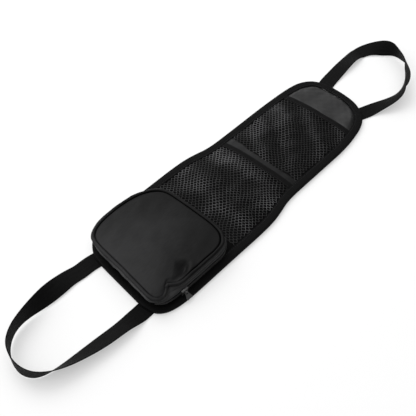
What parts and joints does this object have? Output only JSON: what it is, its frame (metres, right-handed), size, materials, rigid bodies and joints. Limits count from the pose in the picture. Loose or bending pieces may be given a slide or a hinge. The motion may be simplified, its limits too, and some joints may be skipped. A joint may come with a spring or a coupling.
{
  "type": "car seat side organizer",
  "caption": "Long padded fabric panel with a bound edge, flat mesh pockets, a zipped box pocket at its wide end and a webbing loop at each end, for hanging beside a car seat.",
  "frame": {"origin": "middle of the whole object's box in x and y, at the height of the floor that its back lies on", "axes": "+Z up, away from the back cloth; +Y along the length, towards the narrow end; +X to the right, as seen from the front with +Y up"},
  "size_m": [0.175, 0.8024, 0.029],
  "materials": {
    "pocket_nylon": "fine plain weave, matt",
    "lining_satin": "smooth lining cloth with a soft sheen",
    "back_cloth": "matt backing cloth",
    "binding_tape": "ribbed woven binding tape",
    "webbing": "woven strap",
    "net": "knitted mesh with open cells",
    "foam": "thin padding",
    "zip_tape": "woven zipper tape",
    "zip_teeth": "moulded coil",
    "painted_metal": "black lacquer"
  },
  "bodies": {
    "organizer": {"bottom_strap_loop": "webbing", "edge_binding": "binding_tape", "foam_core": "foam", "front_panel_lining": "lining_satin", "lower_mesh_pocket": "net", "lower_mouth_binding": "binding_tape", "pocket_end_gusset": "pocket_nylon", "pocket_front_panel": "pocket_nylon", "pocket_lower_gusset": "pocket_nylon", "pocket_rim_piping": "pocket_nylon", "pocket_upper_gusset": "pocket_nylon", "rear_panel_fabric": "back_cloth", "top_strap_loop": "webbing", "upper_mesh_pocket": "net", "upper_mouth_binding": "binding_tape", "zipper_coil_lower": "zip_teeth", "zipper_coil_upper": "zip_teeth", "zipper_tape_lower": "zip_tape", "zipper_tape_upper": "zip_tape"},
    "slider": {"zipper_slider": "painted_metal"},
    "pull": {"zipper_pull": "painted_metal"}
  },
  "joints": [
    {"name": "slider_slide", "type": "slide", "parent": "organizer", "child": "slider", "axis": [0, 1, 0], "range_m": [0, 0.06]},
    {"name": "pull_hinge", "type": "hinge", "parent": "slider", "child": "pull", "pos_m": [0.07969, -0.1905, 0.0114], "axis": [0, -1, 0], "range_deg": [0, 132]}
  ]
}
